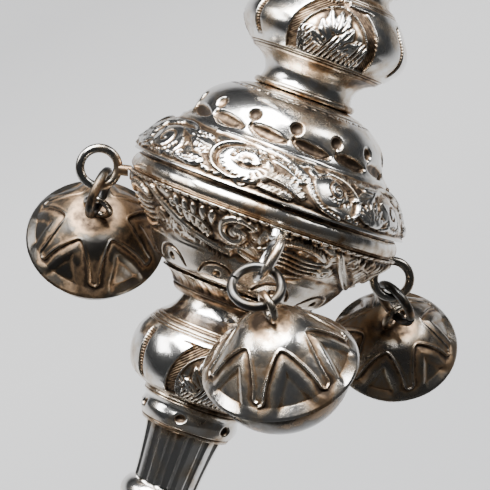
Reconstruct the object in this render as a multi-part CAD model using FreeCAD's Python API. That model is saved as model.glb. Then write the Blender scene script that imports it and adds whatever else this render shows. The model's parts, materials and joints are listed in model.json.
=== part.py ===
import FreeCAD, Part
import math
import os

from FreeCAD import Placement, Rotation, Vector

# A silver baby rattle with a whistle, four chained bells and a teether handle.
# Lengths are in millimetres and angles in degrees.
# Row frame: +Z is up, +X runs uphill along the rattle, and the origin is at the middle of the handle's grip.
# Axis frame, used for all that is turned: +Z runs up the rattle towards the whistle, from the girdle's middle.

# Driving dimensions
BRIM_R = 14.0  # the widest radius of the hollow body
WALL = 0.5  # silver sheet of the column
THIN_WALL = 0.4  # silver sheet of the bells
AXIS_RISE = 34.0  # how far the rattle's axis rises above the horizontal
GRIP_R = 4.3
GRIP_LENGTH = 20.0
GRIP_AT = -60.0  # the grip's middle, along the rattle's axis from the girdle
HANDLE_END = -80.0
WHISTLE_TIP = 52.0

# Chain
RING_WIRE_R = 0.45
LINK_R = 2.25  # mean radius of the loose link ring
LOOP_R = 1.25  # mean radius of the loop on a bell
LOOP_WIRE_R = 0.35
WIRE_GAP = 0.13  # daylight between two wires that hang in each other
SHANK_R = 0.55  # the foot that joins a fixed ring to the body
LOOP_SINK = 0.1  # how deep a loop's foot sits in the solder on its bell
LINK_SLIT = 0.25  # the cut in the link through which it was threaded

# Bells
CUP_R = 0.90  # lower cup's rim over the bell's radius
CUP_DEPTH = 0.78  # over the bell's radius
LEDGE_R = 0.86  # inner edge of the ledge inside the dome's rim, over the bell's radius
SOUND_SLOT = 0.8
SOUND_HOLE_R = 0.9
SOUND_HOLE_AT = 0.55  # from the bell's middle, over the cup's radius
PELLET_R = 1.5

# Each bell's place. azimuth: round the rattle from its upper side towards -Y. out, drop: the soldered ring's
# centre, from the rattle's axis and along it. lean: the ring's turn out of the radial plane. loop: the ring's
# mean radius. solder: where its foot ends on the body. link, hang: tilt off plumb and compass heading of the
# link and of the bell. twist: the link's turn about its own length. hook: where round the link the bell hangs.
# radius, dome: the bell's rim radius, and its dome's height over that radius.
BELLS = {
    "front": {
        "azimuth": 20.2, "out": 15.2, "drop": -3.9, "lean": 10.0, "loop": 2.15, "solder": (13.7, -1.5),
        "link": (95.0, 182.0), "twist": 25.0, "hook": -48.0, "hang": (20.0, 232.0),
        "radius": 7.35, "dome": 0.78,
    },
    "left": {
        "azimuth": -67.3, "out": 16.65, "drop": -1.95, "lean": 0.0, "loop": 1.85, "solder": (13.6, -1.3),
        "link": (6.0, 103.0), "twist": 28.0, "hook": 0.0, "hang": (6.0, 103.0),
        "radius": 7.05, "dome": 0.64,
    },
    "right": {
        "azimuth": 112.7, "out": 14.7, "drop": -2.9, "lean": 0.0, "loop": 1.85, "solder": (13.0, -1.6),
        "link": (2.0, -77.0), "twist": -25.0, "hook": 0.0, "hang": (2.0, -77.0),
        "radius": 6.7, "dome": 0.64,
    },
    "rear": {
        "azimuth": 191.0, "out": 15.2, "drop": -2.9, "lean": 0.0, "loop": 1.85, "solder": (13.4, -1.5),
        "link": (0.0, 0.0), "twist": 20.0, "hook": 0.0, "hang": (0.0, 0.0),
        "radius": 7.05, "dome": 0.64,
    },
}

# A bell's outlines: the dome as (radius, height) over its rim radius and its height, and the cup over its own
DOME = [(1.00, 0.00), (0.93, 0.17), (0.80, 0.45), (0.62, 0.74), (0.42, 0.93), (0.20, 0.99), (0.00, 1.00)]
CUP = [(0.00, -1.00), (0.50, -0.90), (0.86, -0.55), (1.00, 0.00)]

# Outlines as (radius, height) over the brim radius, from the lower end to the upper end
UPPER_SHELL = [
    (1.000, 0.075), (1.010, 0.130), (0.975, 0.200), (0.930, 0.270), (0.865, 0.345), (0.795, 0.392),
    (0.737, 0.438), (0.705, 0.495), (0.670, 0.590), (0.610, 0.665), (0.505, 0.735), (0.400, 0.775),
    (0.330, 0.792),
]
LOWER_SHELL = [
    (0.340, -0.660), (0.445, -0.630), (0.555, -0.595), (0.625, -0.545), (0.690, -0.450), (0.745, -0.380),
    (0.840, -0.295), (0.905, -0.220), (0.970, -0.145), (1.000, -0.075),
]
UPPER_NECK = [(0.335, 0.840), (0.328, 0.920), (0.375, 0.990), (0.450, 1.030)]
UPPER_KNOP = [
    (0.450, 1.030), (0.545, 1.120), (0.597, 1.215), (0.590, 1.300), (0.550, 1.375), (0.480, 1.470),
    (0.400, 1.545),
]
UPPER_WAIST = [(0.385, 1.545), (0.350, 1.600), (0.370, 1.655)]
UPPER_FLANGE = [(0.395, 1.655), (0.430, 1.700), (0.405, 1.765), (0.340, 1.800)]
FLUTED_STEM = [(0.275, 1.800), (0.262, 2.000), (0.250, 2.230)]
LOWER_NECK = [(0.470, -0.960), (0.400, -0.905), (0.310, -0.840), (0.283, -0.770), (0.300, -0.745)]
LOWER_KNOP = [
    (0.380, -1.455), (0.505, -1.385), (0.555, -1.280), (0.567, -1.175), (0.540, -1.065), (0.470, -0.960),
]
LOWER_FLANGE = [
    (0.320, -1.690), (0.340, -1.650), (0.358, -1.580), (0.350, -1.525), (0.372, -1.490), (0.365, -1.455),
]
FLUTED_FERRULE = [(0.232, -2.100), (0.250, -1.900), (0.280, -1.690)]

COLLAR_HOLE = 0.24  # over the brim radius, the bore through every collar
UPPER_COLLAR_R = 0.37  # over the brim radius
LOWER_COLLAR_R = 0.385  # over the brim radius
FLUTES = 14
FLUTE_DEPTH = 0.3
FLUTE_WIDTH = 0.8  # over the spacing of the flutes
FLUTE_OVERRUN = 1.0  # how far each flute is cut past the ends of its column
GIRDLE = [(0.945, -0.075), (0.975, -0.050), (0.983, 0.000), (0.965, 0.040), (0.938, 0.075)]
GIRDLE_HOLE = 0.915  # over the brim radius
RIM_LEDGE = 1.3  # width of the flat ledge turned in at each shell's rim

# Whistle
STEM_TOP = FLUTED_STEM[-1][1] * BRIM_R
WHISTLE_R = 3.3
WHISTLE_WALL = 1.0
WHISTLE_COLLAR_R = 4.2
WHISTLE_COLLAR = 2.0  # length of the bead at the tube's foot
TIP_R = 2.7
TIP_BEAD_R = 0.55
PLUG_LENGTH = 7.0
WINDWAY = 0.7
WINDOW_LENGTH = 2.6
WINDOW_WIDTH = 3.0
WINDOW_FLOOR = 1.0  # from the tube's axis to the near side of the window

# Handle
FERRULE_FOOT = FLUTED_FERRULE[0][1] * BRIM_R
FERRULE_TOP = FLUTED_FERRULE[-1][1] * BRIM_R
RING_BEAD_LENGTH = 3.0
RING_BEAD_R = 4.1
SOCKET_R = 4.9
SOCKET_LENGTH = 3.6
HANDLE_TOP_R = 4.1
HANDLE_NECK_R = 3.4
HANDLE_NECK_AT = 3.5  # below the handle's top
ROUNDED_END = [(4.2, 0.35), (3.6, 0.72), (2.2, 0.93)]  # (radius, share of the way from the grip to the end)
PEG_R = 1.1
PEG_DEPTH = 9.0  # how far the peg reaches into the handle
PEG_GAP = 0.02

AXIS = Vector(math.cos(math.radians(AXIS_RISE)), 0, math.sin(math.radians(AXIS_RISE)))
UPPER_SIDE = Vector(-math.sin(math.radians(AXIS_RISE)), 0, math.cos(math.radians(AXIS_RISE)))
TOWARDS = Vector(0, -1, 0)
UP = Vector(0, 0, 1)
IN_ROW = Placement(AXIS * -GRIP_AT, Rotation(UPPER_SIDE, TOWARDS, AXIS, "ZXY"))


def scaled(outline):
    """An outline in millimetres, from one over the brim radius."""
    return [Vector(r * BRIM_R, 0, z * BRIM_R) for r, z in outline]


def set_in(points, wall):
    """The same outline, moved towards the axis by the wall at right angles to itself."""
    moved = []
    last = len(points) - 1
    for i, point in enumerate(points):
        along = points[min(i + 1, last)] - points[max(i - 1, 0)]
        along.normalize()
        moved.append(point + Vector(-along.z, 0, along.x) * wall)
    return moved


def curve(points):
    """A smooth edge through the points."""
    spline = Part.BSplineCurve()
    spline.interpolate(points)
    return spline.toShape()


def spin(edges):
    """The solid swept by a closed outline round the axis."""
    return Part.Face(Part.Wire(edges)).revolve(Vector(), UP, 360)


def level_end(point, edge, neighbour):
    """A set-in outline's end, slid along the outline until it is level with the outer edge."""
    along = neighbour - edge
    return point + along * ((edge.z - point.z) / along.z)


def sheet(points, wall):
    """A spun sheet-metal piece whose two edges are cut level, so that it stands flush on its neighbours."""
    inner = set_in(points, wall)
    inner[0] = level_end(inner[0], points[0], points[1])
    inner[-1] = level_end(inner[-1], points[-1], points[-2])
    ends = [Part.makeLine(points[-1], inner[-1]), Part.makeLine(inner[0], points[0])]
    return spin([curve(points), ends[0], curve(inner[::-1]), ends[1]])


def full(points):
    """The solid inside an outline, closed to the axis."""
    low, high = Vector(0, 0, points[0].z), Vector(0, 0, points[-1].z)
    edges = [curve(points)]
    for start, end in ((points[-1], high), (high, low), (low, points[0])):
        if (end - start).Length > 0:
            edges.append(Part.makeLine(start, end))
    return spin(edges)


def bored(points, hole):
    """The solid inside an outline with a bore along the axis."""
    low, high = points[0].z, points[-1].z
    return full(points).cut(Part.makeCylinder(hole, high - low, Vector(0, 0, low), UP))


def washer(outer, inner, low, high):
    """A plain ring of rectangular section."""
    disc = Part.makeCylinder(outer, high - low, Vector(0, 0, low), UP)
    return disc.cut(Part.makeCylinder(inner, high - low, Vector(0, 0, low), UP))


def rounded_ring(outer, inner, low, high):
    """A collar whose outer face is a half-round bead."""
    half = (high - low) / 2
    flat = outer - half
    arc = Part.Arc(Vector(flat, 0, low), Vector(outer, 0, low + half), Vector(flat, 0, high)).toShape()
    sides = [
        Part.makeLine(Vector(flat, 0, high), Vector(inner, 0, high)),
        Part.makeLine(Vector(inner, 0, high), Vector(inner, 0, low)),
        Part.makeLine(Vector(inner, 0, low), Vector(flat, 0, low)),
    ]
    return spin([arc] + sides)


def fluted(points, hole):
    """A tapered column with flutes cut along it and a bore through it."""
    low, high = points[0], points[-1]
    body = bored(points, hole)
    groove_r = math.pi * min(low.x, high.x) / FLUTES * FLUTE_WIDTH
    foot = Vector(low.x + groove_r - FLUTE_DEPTH, 0, low.z - FLUTE_OVERRUN)
    head = Vector(high.x + groove_r - FLUTE_DEPTH, 0, high.z + FLUTE_OVERRUN)
    for i in range(FLUTES):
        groove = Part.makeCylinder(groove_r, (head - foot).Length, foot, head - foot)
        groove.rotate(Vector(), UP, 360 * i / FLUTES)
        body = body.cut(groove)
    return body


def body_shells():
    """The two halves of the hollow body and the plain girdle between them."""
    upper, lower = scaled(UPPER_SHELL), scaled(LOWER_SHELL)
    edge = upper[0].z
    outer, inner = BRIM_R - WALL / 2, BRIM_R - RIM_LEDGE
    return {
        "upper_shell": sheet(upper, WALL).fuse(washer(outer, inner, edge, edge + WALL)),
        "girdle_band": bored(scaled(GIRDLE), GIRDLE_HOLE * BRIM_R),
        "lower_shell": sheet(lower, WALL).fuse(washer(outer, inner, -edge - WALL, -edge)),
    }


def column():
    """Necks, knops, collars and flanges above and below the body."""
    hole = COLLAR_HOLE * BRIM_R
    top, foot = UPPER_SHELL[-1][1] * BRIM_R, UPPER_NECK[0][1] * BRIM_R
    head, bottom = LOWER_NECK[-1][1] * BRIM_R, LOWER_SHELL[0][1] * BRIM_R
    return {
        "neck_collar": rounded_ring(UPPER_COLLAR_R * BRIM_R, hole, top, foot),
        "upper_neck": sheet(scaled(UPPER_NECK), WALL),
        "upper_knop": sheet(scaled(UPPER_KNOP), WALL),
        "upper_waist": sheet(scaled(UPPER_WAIST), WALL),
        "upper_flange": bored(scaled(UPPER_FLANGE), hole),
        "lower_collar": rounded_ring(LOWER_COLLAR_R * BRIM_R, hole, head, bottom),
        "lower_neck": sheet(scaled(LOWER_NECK), WALL),
        "lower_knop": sheet(scaled(LOWER_KNOP), WALL),
        "lower_flange": bored(scaled(LOWER_FLANGE), hole),
        "fluted_stem": fluted(scaled(FLUTED_STEM), WHISTLE_R - WHISTLE_WALL),
        "fluted_ferrule": fluted(scaled(FLUTED_FERRULE), PEG_R + PEG_GAP),
    }


def whistle():
    """A tapered tube with a window and a plug, and a bead at each end."""
    foot, bore, tip_bore = STEM_TOP + WHISTLE_COLLAR, WHISTLE_R - WHISTLE_WALL, TIP_R - WHISTLE_WALL
    length = WHISTLE_TIP - foot
    plug_foot = WHISTLE_TIP - PLUG_LENGTH
    plug_r = tip_bore + (bore - tip_bore) * PLUG_LENGTH / length
    at_foot, at_plug = Vector(0, 0, foot), Vector(0, 0, plug_foot)
    tube = Part.makeCone(WHISTLE_R, TIP_R, length, at_foot, UP)
    tube = tube.cut(Part.makeCone(bore, tip_bore, length, at_foot, UP))
    window_corner = Vector(WINDOW_FLOOR, -WINDOW_WIDTH / 2, plug_foot - WINDOW_LENGTH)
    window = Part.makeBox(WHISTLE_R, WINDOW_WIDTH, WINDOW_LENGTH, window_corner)
    windway_corner = Vector(tip_bore - WINDWAY, -WINDOW_WIDTH / 2, plug_foot)
    windway = Part.makeBox(WHISTLE_R, WINDOW_WIDTH, PLUG_LENGTH, windway_corner)
    bead_top = WHISTLE_TIP + 2 * TIP_BEAD_R
    return {
        "whistle_collar": rounded_ring(WHISTLE_COLLAR_R, bore, STEM_TOP, foot),
        "whistle_tube": tube.cut(window),
        "whistle_plug": Part.makeCone(plug_r, tip_bore, PLUG_LENGTH, at_plug, UP).cut(windway),
        "mouthpiece_bead": rounded_ring(TIP_R + TIP_BEAD_R, tip_bore, WHISTLE_TIP, bead_top),
    }


def handle_outline(top):
    """The teether handle's closed outline: a waisted neck, the straight grip and a rounded end."""
    grip_top, grip_foot = GRIP_AT + GRIP_LENGTH / 2, GRIP_AT - GRIP_LENGTH / 2
    neck = [(HANDLE_TOP_R, top), (HANDLE_NECK_R, top - HANDLE_NECK_AT), (GRIP_R, grip_top)]
    end = [(GRIP_R, grip_foot)]
    end += [(radius, grip_foot + share * (HANDLE_END - grip_foot)) for radius, share in ROUNDED_END]
    end += [(0, HANDLE_END)]
    return [
        Part.makeLine(Vector(0, 0, top), Vector(HANDLE_TOP_R, 0, top)),
        curve([Vector(r, 0, z) for r, z in neck]),
        Part.makeLine(Vector(GRIP_R, 0, grip_top), Vector(GRIP_R, 0, grip_foot)),
        curve([Vector(r, 0, z) for r, z in end]),
        Part.makeLine(Vector(0, 0, HANDLE_END), Vector(0, 0, top)),
    ]


def handle():
    """The ferrule's dimpled ring, the socket, the teether handle and the peg that holds it."""
    ring_foot = FERRULE_FOOT - RING_BEAD_LENGTH
    socket_foot = ring_foot - SOCKET_LENGTH
    peg_foot = socket_foot - PEG_DEPTH
    hole = PEG_R + PEG_GAP
    at_foot = Vector(0, 0, peg_foot)
    blind_hole = Part.makeCylinder(hole, PEG_DEPTH, at_foot, UP)
    return {
        "ferrule_ring": rounded_ring(RING_BEAD_R, hole, ring_foot, FERRULE_FOOT),
        "handle_socket": rounded_ring(SOCKET_R, hole, socket_foot, ring_foot),
        "teether_handle": spin(handle_outline(socket_foot)).cut(blind_hole),
        "handle_peg": Part.makeCylinder(PEG_R, FERRULE_TOP - peg_foot, at_foot, UP),
    }


def heading(tilt, compass):
    """The unit vector that lies this far off plumb, leaning towards a compass heading from +X to +Y."""
    lean, turn = math.radians(tilt), math.radians(compass)
    return Vector(math.sin(lean) * math.cos(turn), math.sin(lean) * math.sin(turn), -math.cos(lean))


def turned(vector, about, angle):
    """A vector turned round another by an angle."""
    return Rotation(about, angle).multVec(vector)


def chain(bell):
    """Where one bell's ring, link, loop and rim lie in the row frame, and the two hinges between them."""
    round_by = math.radians(bell["azimuth"])
    outward = UPPER_SIDE * math.cos(round_by) + TOWARDS * math.sin(round_by)
    sideways = TOWARDS * math.cos(round_by) - UPPER_SIDE * math.sin(round_by)
    girdle = IN_ROW.Base
    ring = girdle + outward * bell["out"] + AXIS * bell["drop"]
    solder = girdle + outward * bell["solder"][0] + AXIS * bell["solder"][1]
    face = turned(sideways, outward, -bell["lean"])
    link_down = heading(*bell["link"])
    pull = link_down - face * link_down.dot(face)
    pull.normalize()
    ring_hinge = ring + pull * bell["loop"]
    ring_wire = face.cross(pull)
    link_face = ring_wire - link_down * ring_wire.dot(link_down)
    link_face.normalize()
    link_face = turned(link_face, link_down, bell["twist"])
    link = ring_hinge + link_down * (LINK_R - 2 * RING_WIRE_R - WIRE_GAP)
    hook = turned(link_down, link_face, bell["hook"])
    link_hinge = link + hook * LINK_R
    link_wire = link_face.cross(hook)
    bell_down = heading(*bell["hang"])
    loop_face = link_wire - bell_down * link_wire.dot(bell_down)
    loop_face.normalize()
    loop = link_hinge + bell_down * (LOOP_R - RING_WIRE_R - LOOP_WIRE_R - WIRE_GAP)
    apex = loop + bell_down * (LOOP_R + LOOP_WIRE_R - LOOP_SINK)
    rim = apex + bell_down * bell["radius"] * bell["dome"]
    return {
        "ring": ring, "ring_face": face, "solder": solder, "ring_hinge": ring_hinge, "ring_wire": ring_wire,
        "link": link, "link_face": link_face, "link_down": link_down,
        "link_hinge": link_hinge, "link_wire": link_wire,
        "loop": loop, "loop_face": loop_face, "apex": apex, "rim": rim, "down": bell_down,
    }


def bell_dome(radius, height):
    """The upper half of a bell: a thin dome with a plain rim, and a ledge inside that carries the cup."""
    outer = [Vector(r * radius, 0, z * height) for r, z in DOME]
    inner = [Vector(r * (radius - THIN_WALL), 0, z * (height - THIN_WALL)) for r, z in DOME]
    ends = [Part.makeLine(outer[-1], inner[-1]), Part.makeLine(inner[0], outer[0])]
    ledge = washer(radius - THIN_WALL / 2, radius * LEDGE_R, 0, THIN_WALL)
    dome = spin([curve(outer), ends[0], curve(inner[::-1]), ends[1]])
    return dome.fuse(ledge.common(full(outer)))


def bell_cup(radius):
    """The lower half of a bell: a deep cup with a sound slot between two round holes."""
    rim, depth = radius * CUP_R, radius * CUP_DEPTH
    inner_rim, inner_depth = rim - THIN_WALL, depth - THIN_WALL
    outside = full([Vector(r * rim, 0, z * depth) for r, z in CUP])
    inside = full([Vector(r * inner_rim, 0, z * inner_depth) for r, z in CUP])
    reach, below = rim * SOUND_HOLE_AT, inner_depth / 2 - 2 * depth
    opening = Part.makeBox(2 * reach, SOUND_SLOT, depth, Vector(-reach, -SOUND_SLOT / 2, below))
    for side in (-reach, reach):
        opening = opening.fuse(Part.makeCylinder(SOUND_HOLE_R, depth, Vector(side, 0, below), UP))
    return outside.cut(inside).cut(opening)


def wire_ring(mean_r, wire_r, centre, face, way):
    """A closed ring of round wire, whose own x axis points along way."""
    ring = Part.makeTorus(mean_r, wire_r)
    ring.Placement = Placement(centre, Rotation(way, face.cross(way), face, "ZXY"))
    return ring


def body_ring(at, mean_r, body):
    """A round wire ring on a short foot soldered to the body."""
    inward = at["solder"] - at["ring"]
    inward.normalize()
    start = at["ring"] + inward * mean_r
    foot = Part.makeCylinder(SHANK_R, (at["solder"] - start).Length, start, inward)
    ring = wire_ring(mean_r, RING_WIRE_R, at["ring"], at["ring_face"], inward * -1)
    return max(ring.fuse(foot).cut(body).Solids, key=lambda solid: solid.Volume)


def link_ring(at):
    """A loose round wire ring with the cut in it through which it was threaded."""
    outward = turned(at["link_down"], at["link_face"], 90)
    ring = wire_ring(LINK_R, RING_WIRE_R, at["link"], at["link_face"], outward * -1)
    wide = 4 * RING_WIRE_R
    slit = Part.makeBox(LINK_SLIT, wide, wide, Vector(-LINK_SLIT / 2, -wide / 2, -wide / 2))
    way = Rotation(at["link_face"].cross(outward), outward, at["link_face"], "XYZ")
    slit.Placement = Placement(at["link"] + outward * LINK_R, way).multiply(slit.Placement)
    return ring.cut(slit)


def bell_nodes(name, bell, body):
    """The six pieces of one bell and its chain, in the row frame."""
    at = chain(bell)
    radius, height = bell["radius"], bell["radius"] * bell["dome"]
    upright = Rotation(at["loop_face"], at["loop_face"].cross(at["down"]), at["down"] * -1, "ZXY")
    in_place = Placement(at["rim"], upright)
    pellet_z = THIN_WALL + PELLET_R + PEG_GAP - radius * CUP_DEPTH
    below_crown = Part.makeCylinder(radius, height, Vector(), UP)
    dome, cup = bell_dome(radius, height), bell_cup(radius)
    pellet = Part.makeSphere(PELLET_R, Vector(0, 0, pellet_z))
    loop = wire_ring(LOOP_R, LOOP_WIRE_R, at["loop"], at["loop_face"], at["down"] * -1)
    for piece in (below_crown, dome, cup, pellet):
        piece.Placement = in_place.multiply(piece.Placement)
    return {
        name + "_body_ring": body_ring(at, bell["loop"], body),
        name + "_link_ring": link_ring(at),
        name + "_bell_loop": loop.cut(below_crown),
        name + "_bell_dome": dome,
        name + "_bell_cup": cup,
        name + "_bell_pellet": pellet,
    }


def nodes():
    """Every piece of the rattle by name, in the row frame."""
    pieces = {**body_shells(), **column(), **whistle(), **handle()}
    body = full(scaled(LOWER_SHELL))
    for piece in (body, *pieces.values()):
        piece.Placement = IN_ROW.multiply(piece.Placement)
    for name, bell in BELLS.items():
        pieces.update(bell_nodes(name, bell, body))
    return pieces


os.makedirs("parts", exist_ok=True)
for node, shape in nodes().items():
    shape.exportStep("parts/" + node + ".step")
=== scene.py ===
import json
import math

import bpy
import numpy as np
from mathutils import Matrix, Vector


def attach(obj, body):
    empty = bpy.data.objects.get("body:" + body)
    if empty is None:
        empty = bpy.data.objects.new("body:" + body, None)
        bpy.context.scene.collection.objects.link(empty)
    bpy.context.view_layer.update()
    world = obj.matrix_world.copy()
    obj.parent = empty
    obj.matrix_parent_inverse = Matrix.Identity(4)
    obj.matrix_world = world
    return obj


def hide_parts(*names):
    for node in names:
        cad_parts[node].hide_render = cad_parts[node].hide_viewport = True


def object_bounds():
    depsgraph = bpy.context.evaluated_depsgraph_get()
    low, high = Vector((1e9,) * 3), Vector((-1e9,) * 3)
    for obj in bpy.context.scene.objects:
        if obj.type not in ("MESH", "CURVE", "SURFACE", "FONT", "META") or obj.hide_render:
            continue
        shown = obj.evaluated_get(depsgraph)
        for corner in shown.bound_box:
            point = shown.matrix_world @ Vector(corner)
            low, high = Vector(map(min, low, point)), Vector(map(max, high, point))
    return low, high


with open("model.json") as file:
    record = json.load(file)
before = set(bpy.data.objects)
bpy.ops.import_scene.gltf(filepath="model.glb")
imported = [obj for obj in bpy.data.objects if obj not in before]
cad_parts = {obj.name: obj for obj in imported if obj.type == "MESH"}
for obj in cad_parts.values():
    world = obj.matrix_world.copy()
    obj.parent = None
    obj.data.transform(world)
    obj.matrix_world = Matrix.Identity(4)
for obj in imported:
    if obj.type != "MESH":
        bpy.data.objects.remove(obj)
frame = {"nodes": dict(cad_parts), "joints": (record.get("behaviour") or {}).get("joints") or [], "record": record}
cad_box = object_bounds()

# A chased silver baby rattle. Design lengths are in millimetres and angles in degrees; Blender's are metres.
# Axis frame of the turned pieces: x to the rattle's upper side, y to its camera side (-Y), z to the whistle.
# A place on a turned piece is its azimuth in that frame and its height over the brim radius, or the length of
# profile, the run, from the piece's foot.
MM = 0.001
BRIM_R = 14.0
AXIS_RISE = math.radians(34.0)
GIRDLE_AT = 60.0  # from the grip's middle along the axis
AXIS = np.array([math.cos(AXIS_RISE), 0.0, math.sin(AXIS_RISE)])
UPPER_SIDE = np.array([-math.sin(AXIS_RISE), 0.0, math.cos(AXIS_RISE)])
TOWARDS = np.array([0.0, -1.0, 0.0])
GIRDLE = AXIS * GIRDLE_AT
BELL_INNER = 0.60  # how far a bell's inner face lies inside its outline
SKIN = 0.03  # how far the detailed surfaces stay inside the CAD ones
INNER_ROWS = 9  # rings of points on the inside of a turned sheet
FAR = 9.0  # a distance beyond any stroke's reach
OUTSIDE = -9.0  # a height that never shows
TOP = -0.01  # the height of raised chasing
UPPER_GROUND = -0.32  # the height of the sunk ground between the chasing of each piece
LOWER_GROUND = -0.34
PANEL_GROUND = -0.34
PETALS = 6
HALF_PETAL = 180 / PETALS
PANEL_AT = 18.7  # azimuth of the middle of a knop's first leaf panel

# Camera, relative to the girdle's middle
CAMERA_RIGHT = np.array([0.4067, -0.9131, 0.0])
CAMERA_UP = np.array([0.7708, 0.3428, 0.5370])
CAMERA_BACK = np.array([-0.4903, -0.2184, 0.8430])
CAMERA_AT = (-1.97, -4.04, 196.0)  # millimetres along those three
LENS = 146.06
SEAM_SPAN = 4.0  # the length of the column over which the seams lie, over the brim radius
SEAMS = [  # (height, reach) over the brim radius, upwards
    (-1.690, 0.06), (-1.455, 0.07), (-0.960, 0.05), (-0.690, 0.08),
    (0.800, 0.06), (1.020, 0.08), (1.550, 0.06),
]
# Painted shade: the floor's colour darkens towards the top and the left of the picture, as if less light fell
# there.
FLOOR_SHADE = 8.8  # how fast the floor's tone changes, per metre
FLOOR_SHADE_ACROSS = 5.0  # the same towards the left
FLOOR_SHADE_FROM = -0.65  # the tone's place at the origin
FLOOR_DROP = 0.12  # metres from the rattle's lowest point down to the floor
FLOOR_SIZE = 3.0  # metres
SKY = 0.055  # strength of the even light
SKY_SEEN = 0.50  # how much brighter the sky is where it is seen

# Outlines as (radius, height) over the brim radius: the CAD's, but for LOWER_NECK and LOWER_COLLAR
UPPER_SHELL = [
    (1.000, 0.075), (1.010, 0.130), (0.975, 0.200), (0.930, 0.270), (0.865, 0.345), (0.795, 0.392),
    (0.737, 0.438), (0.705, 0.495), (0.670, 0.590), (0.610, 0.665), (0.505, 0.735), (0.400, 0.775),
    (0.330, 0.792),
]
LOWER_SHELL = [
    (0.340, -0.660), (0.445, -0.630), (0.555, -0.595), (0.625, -0.545), (0.690, -0.450), (0.745, -0.380),
    (0.840, -0.295), (0.905, -0.220), (0.970, -0.145), (1.000, -0.075),
]
GIRDLE_BAND = [(0.945, -0.075), (0.975, -0.050), (0.983, 0.000), (0.965, 0.040), (0.938, 0.075)]
UPPER_KNOP = [
    (0.450, 1.030), (0.545, 1.120), (0.597, 1.215), (0.590, 1.300), (0.550, 1.375), (0.480, 1.470),
    (0.400, 1.545),
]
LOWER_KNOP = [
    (0.380, -1.455), (0.505, -1.385), (0.555, -1.280), (0.567, -1.175), (0.540, -1.065), (0.470, -0.960),
]
LOWER_NECK = [
    (0.470, -0.962), (0.420, -0.915), (0.372, -0.865), (0.345, -0.810), (0.336, -0.765),
]
LOWER_COLLAR = [
    (0.336, -0.775), (0.395, -0.768), (0.428, -0.735), (0.448, -0.695), (0.485, -0.655), (0.540, -0.625),
]
UPPER_FLANGE = [(0.395, 1.655), (0.430, 1.700), (0.405, 1.765), (0.340, 1.800)]
LOWER_FLANGE = [
    (0.320, -1.690), (0.340, -1.650), (0.358, -1.580), (0.350, -1.525), (0.372, -1.490), (0.365, -1.455),
]
HANDLE = [
    (0.030, -5.707), (0.157, -5.662), (0.257, -5.512), (0.298, -5.250), (0.306, -5.000), (0.307, -4.500),
    (0.307, -4.000), (0.306, -3.571), (0.285, -3.180), (0.245, -2.821), (0.290, -2.573),
]
# Bells' outlines as shares of a dome's size: the CAD's, and the more conical one of the photo's front bell
DOME = [(1.00, 0.00), (0.93, 0.17), (0.80, 0.45), (0.62, 0.74), (0.42, 0.93), (0.20, 0.99), (0.00, 1.00)]
CONE = [(1.00, 0.00), (0.92, 0.17), (0.76, 0.43), (0.57, 0.69), (0.37, 0.89), (0.18, 0.98), (0.00, 1.00)]

random = np.random.default_rng(7)


# Curves and surfaces

def spline(points, count):
    """count points at even spacing on the natural cubic curve through the points."""
    points = np.array(points, float)
    knots = np.concatenate([[0], np.cumsum(np.linalg.norm(np.diff(points, axis=0), axis=1))])
    gaps, last = np.diff(knots), len(points) - 1
    system, right = np.eye(last + 1), np.zeros_like(points)
    for i in range(1, last):
        system[i, i - 1:i + 2] = gaps[i - 1], 2 * (gaps[i - 1] + gaps[i]), gaps[i]
        right[i] = 6 * ((points[i + 1] - points[i]) / gaps[i] - (points[i] - points[i - 1]) / gaps[i - 1])
    bends = np.linalg.solve(system, right)
    fine = np.linspace(0, knots[-1], count * 6)
    cell = np.clip(np.searchsorted(knots, fine, side="right") - 1, 0, last - 1)
    gap, a, b = gaps[cell], (knots[cell + 1] - fine) / gaps[cell], (fine - knots[cell]) / gaps[cell]
    a, b, gap = a[:, None], b[:, None], gap[:, None]
    curve = a * points[cell] + b * points[cell + 1]
    curve += ((a ** 3 - a) * bends[cell] + (b ** 3 - b) * bends[cell + 1]) * gap ** 2 / 6
    run = np.concatenate([[0], np.cumsum(np.linalg.norm(np.diff(curve, axis=0), axis=1))])
    even = np.linspace(0, run[-1], count)
    return np.stack([np.interp(even, run, curve[:, 0]), np.interp(even, run, curve[:, 1])], 1), even


def outward(profile):
    """The outward normals of a profile that runs upwards."""
    along = np.gradient(profile, axis=0)
    along /= np.linalg.norm(along, axis=1)[:, None]
    return np.stack([along[:, 1], -along[:, 0]], 1)


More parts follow.
